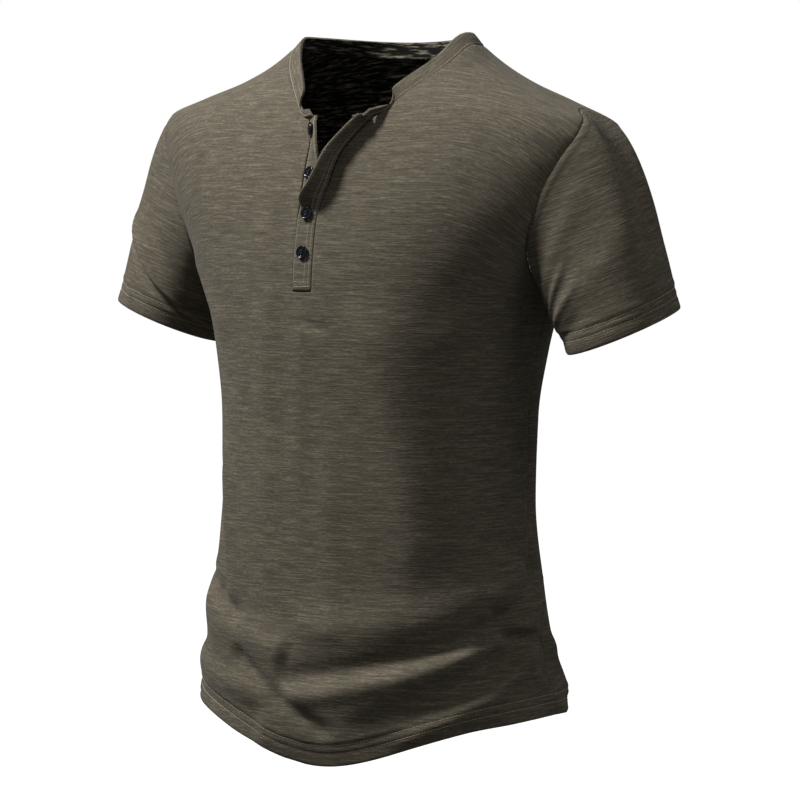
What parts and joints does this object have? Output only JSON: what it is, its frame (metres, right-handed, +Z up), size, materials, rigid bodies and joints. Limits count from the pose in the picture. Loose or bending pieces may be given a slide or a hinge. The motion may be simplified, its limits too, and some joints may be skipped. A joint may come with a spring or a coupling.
{
  "type": "henley shirt",
  "caption": "Short-sleeved henley shirt in dark olive slub jersey, in its worn shape: banded neck, half-open button placket, curved hem.",
  "frame": {"origin": "on the neck's axis, level with the high points of the shoulders", "axes": "+Z up the wearer's height, -Y out of the front, +X to the wearer's left"},
  "size_m": [0.6186, 0.2795, 0.6774],
  "materials": {
    "jersey": "matt slub cotton jersey",
    "resin": "polished cast resin"
  },
  "bodies": {
    "root": {"front_panel": "jersey", "back_panel": "jersey", "sleeve_left": "jersey", "sleeve_right": "jersey", "neckband": "jersey", "placket_overlap": "jersey", "placket_underlap": "jersey", "button_1": "resin", "button_2": "resin", "button_3": "resin", "button_4": "resin"}
  },
  "joints": []
}
